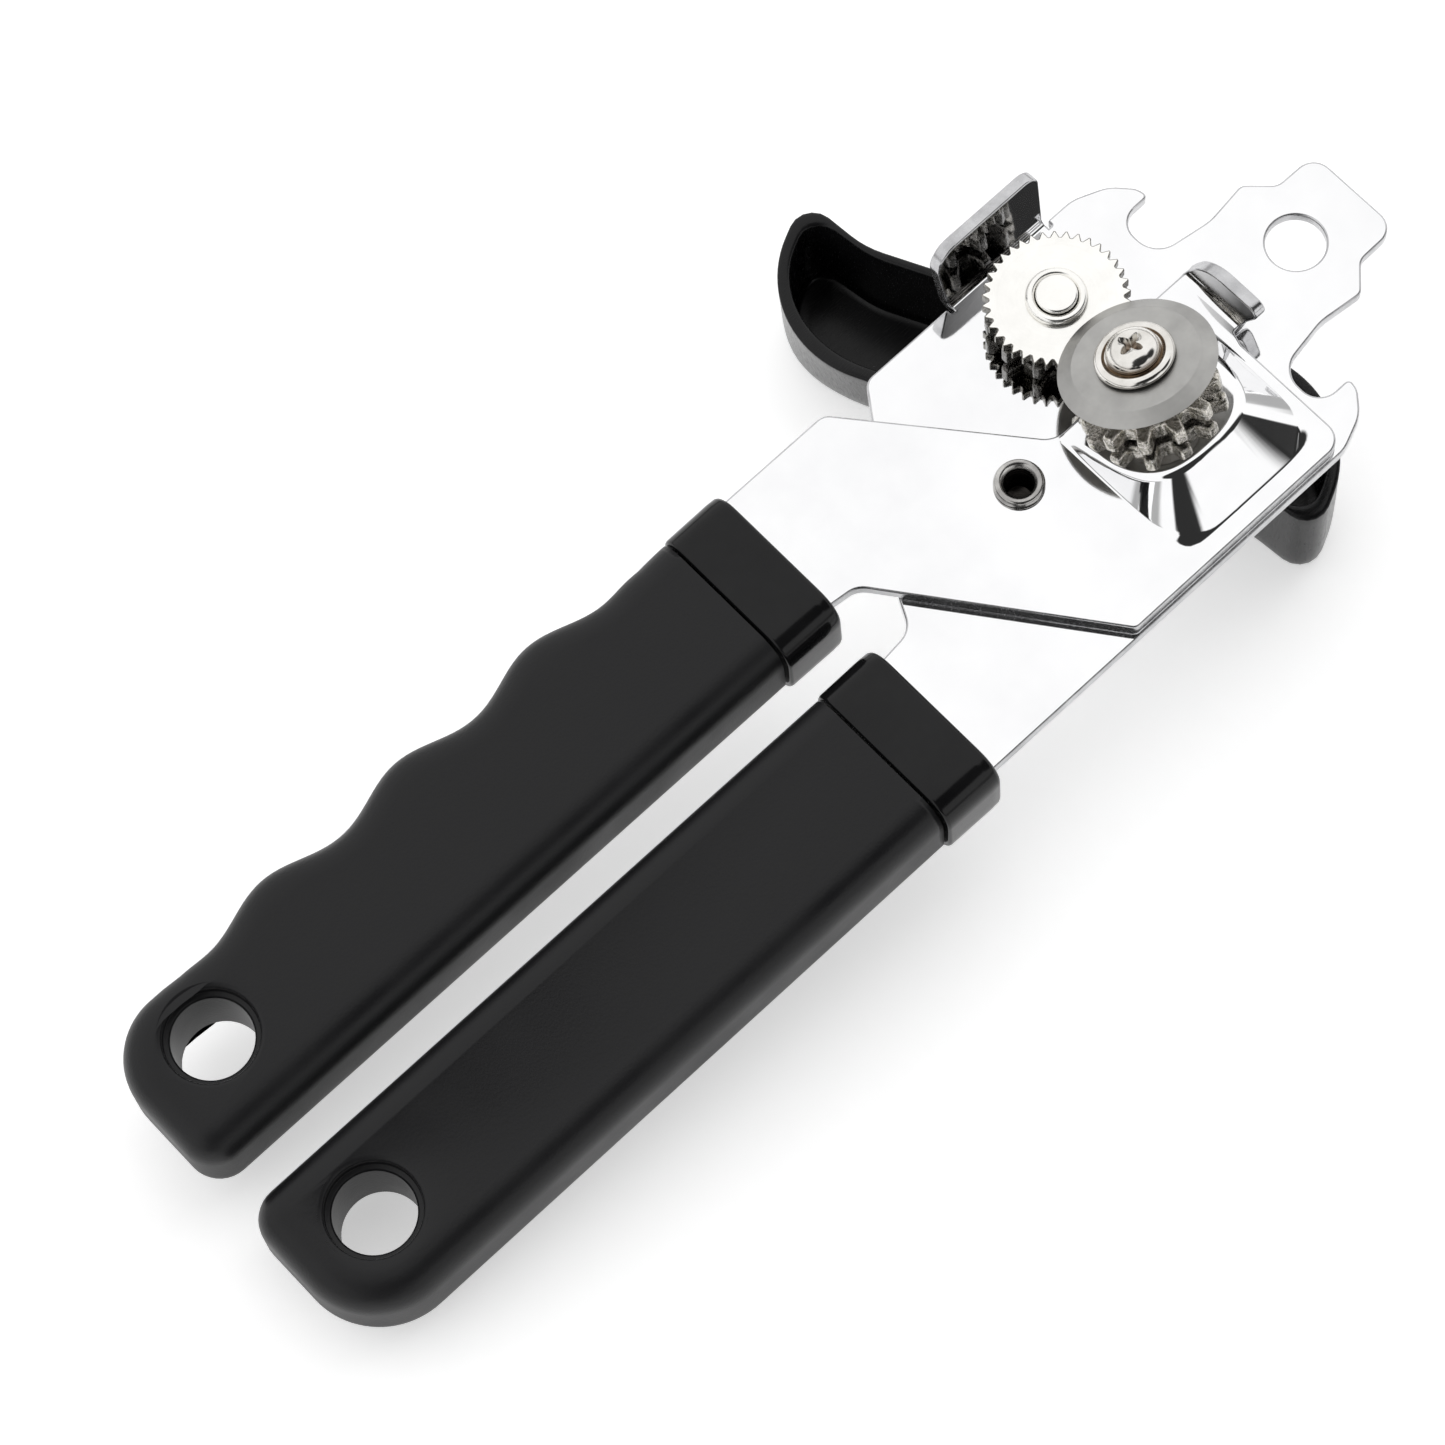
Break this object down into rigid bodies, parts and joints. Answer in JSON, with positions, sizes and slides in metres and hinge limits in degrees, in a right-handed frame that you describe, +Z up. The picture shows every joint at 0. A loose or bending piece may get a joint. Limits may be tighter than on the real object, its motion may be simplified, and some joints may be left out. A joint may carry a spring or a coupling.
{
  "type": "manual can opener",
  "caption": "Hand-held can opener with crossed steel levers, a turning key, a toothed feed wheel, a tilted cutting disc and a bottle-cap lifter tail.",
  "frame": {"origin": "centre of the footprint, at table height, with the opener lying on both wings of its key and on the end of its back grip", "axes": "+X runs from the grips to the cap-lifter tail, +Y from the back grip to the front grip, +Z up from the table"},
  "size_m": [0.1952, 0.0822, 0.0458],
  "materials": {
    "chrome_sheet": "mirror",
    "nickel_steel": "polished",
    "cutter_steel": "brushed",
    "plain_steel": "pressed",
    "grip_plastic": "satin",
    "gloss_plastic": "gloss"
  },
  "bodies": {
    "back_lever": {"back_lever_plate": "chrome_sheet", "back_grip": "grip_plastic", "back_grip_collar": "gloss_plastic", "pivot_rivet": "nickel_steel", "pivot_washer": "plain_steel", "drive_bushing": "plain_steel"},
    "front_lever": {"front_lever_plate": "chrome_sheet", "front_grip": "grip_plastic", "front_grip_collar": "gloss_plastic", "cutter_post": "nickel_steel", "cutter_seat_washer": "plain_steel", "cutter_washer": "nickel_steel", "cutter_screw": "nickel_steel"},
    "drive": {"thrust_washer": "plain_steel", "drive_shaft": "nickel_steel", "drive_gear": "plain_steel", "feed_wheel": "nickel_steel", "feed_wheel_collar": "nickel_steel", "key_spring_washer": "plain_steel", "key_washer": "plain_steel", "turning_key": "gloss_plastic"},
    "cutter": {"cutter_gear": "plain_steel", "cutter_spacer": "plain_steel", "cutter_wheel": "cutter_steel"}
  },
  "joints": [
    {"name": "lever_pivot", "type": "hinge", "parent": "back_lever", "child": "front_lever", "pos_m": [0.03698, -0.01416, 0.02744], "axis": [0.1418, 0.0618, -0.988], "range_deg": [0, 35]},
    {"name": "drive_spin", "type": "hinge", "parent": "back_lever", "child": "drive", "pos_m": [0.05701, -0.00028, 0.03119], "axis": [-0.1418, -0.0618, 0.988], "continuous": true},
    {"name": "cutter_spin", "type": "hinge", "parent": "front_lever", "child": "cutter", "pos_m": [0.05478, -0.01584, 0.04204], "axis": [-0.1348, 0.2833, 0.9495], "continuous": true}
  ],
  "couplings": [
    {"joint": "cutter_spin", "follows": "drive_spin", "ratio": -1}
  ]
}
